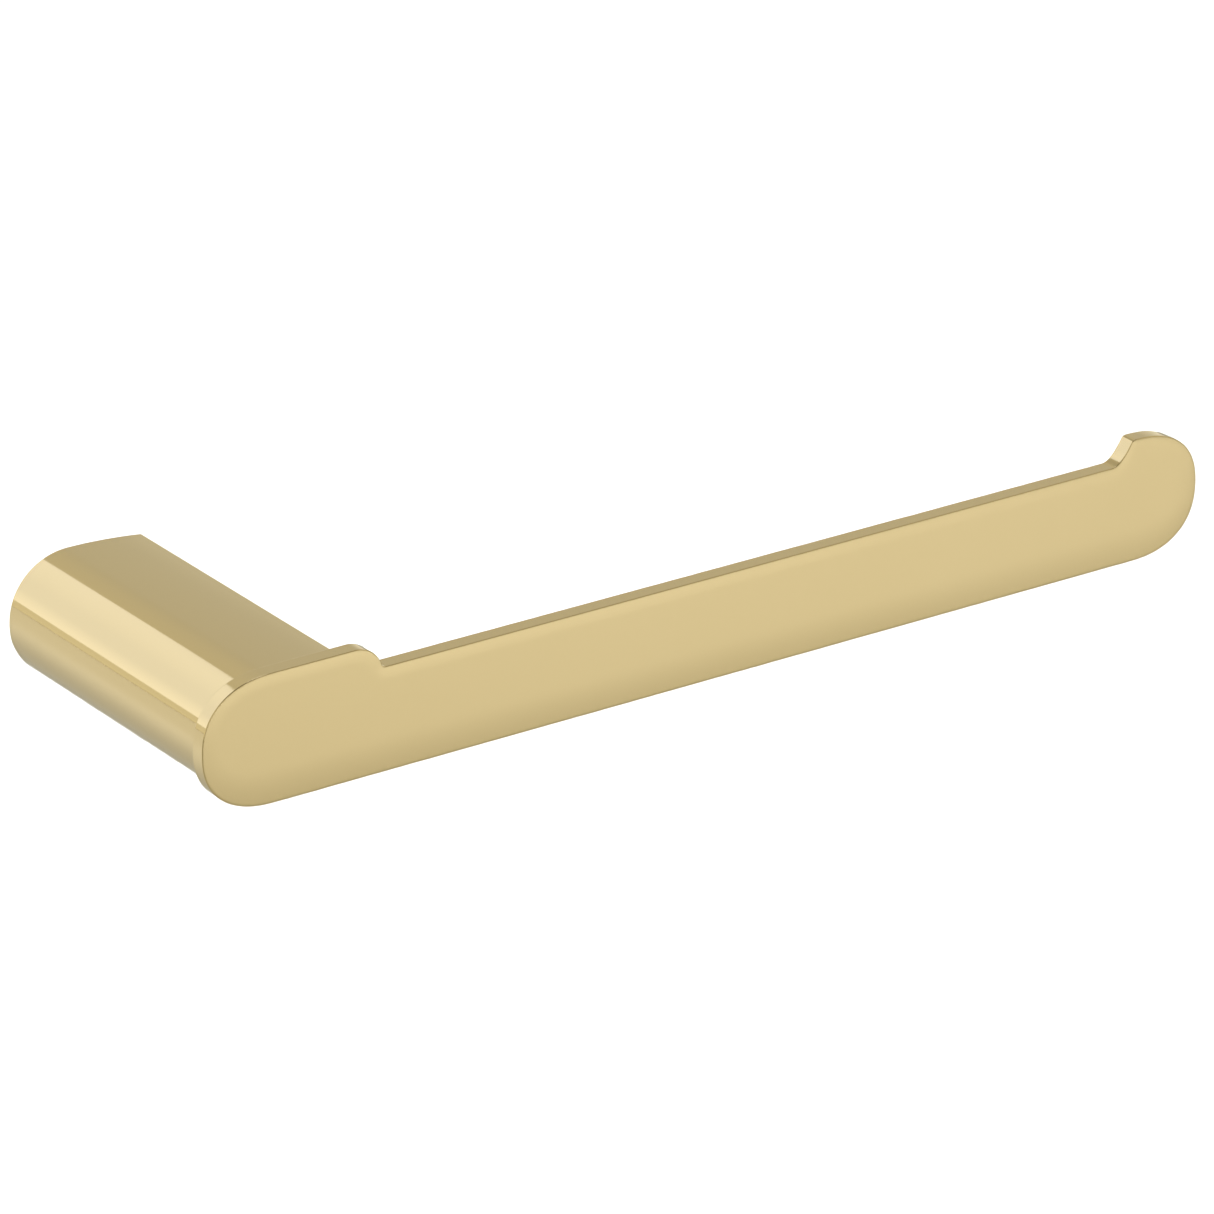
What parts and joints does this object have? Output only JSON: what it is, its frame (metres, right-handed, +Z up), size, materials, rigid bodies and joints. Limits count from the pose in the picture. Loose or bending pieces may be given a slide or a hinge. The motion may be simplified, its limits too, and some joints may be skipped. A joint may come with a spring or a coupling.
{
  "type": "toilet paper holder",
  "caption": "Wall-mounted toilet paper holder: a hollow post on a hidden bracket carries a flat arm whose long top notch holds the roll's tube.",
  "frame": {"origin": "middle of the post's section on the wall face, midway between the two wall screw holes", "axes": "+Y goes into the wall, +X runs along the arm to its free tip, +Z is up"},
  "size_m": [0.21, 0.065, 0.0236],
  "materials": {
    "satin_gold_arm": "satin brushed along the arm, lacquered",
    "satin_gold_post": "satin brushed along the post, lacquered",
    "plain_brass": "turned",
    "zinc_plated_steel": "bright zinc plated",
    "spring_steel": "black oxide",
    "stainless_steel": "machined, fine tool marks"
  },
  "bodies": {
    "bracket": {"wall_bracket": "stainless_steel"},
    "holder": {"roll_arm": "satin_gold_arm", "post_body": "satin_gold_post", "arm_stud_left": "plain_brass", "arm_stud_right": "plain_brass", "plain_washer_left": "zinc_plated_steel", "plain_washer_right": "zinc_plated_steel", "lock_washer_left": "spring_steel", "lock_washer_right": "spring_steel", "stud_nut_left": "zinc_plated_steel", "stud_nut_right": "zinc_plated_steel"},
    "screw_tip": {"set_screw_tip": "plain_brass"},
    "screw": {"set_screw": "spring_steel"}
  },
  "joints": [
    {"name": "post_slide", "type": "slide", "parent": "bracket", "child": "holder", "axis": [0, -1, 0], "range_m": [0, 0.016]},
    {"name": "set_screw_travel", "type": "slide", "parent": "holder", "child": "screw_tip", "axis": [0, 0, -1], "range_m": [0, 0.0024]},
    {"name": "set_screw_turn", "type": "hinge", "parent": "screw_tip", "child": "screw", "pos_m": [0, -0.007, -0.011], "axis": [0, 0, -1], "range_deg": [0, 1080.5]}
  ],
  "couplings": [
    {"joint": "set_screw_turn", "follows": "set_screw_travel", "rad_per_m": 7854}
  ]
}
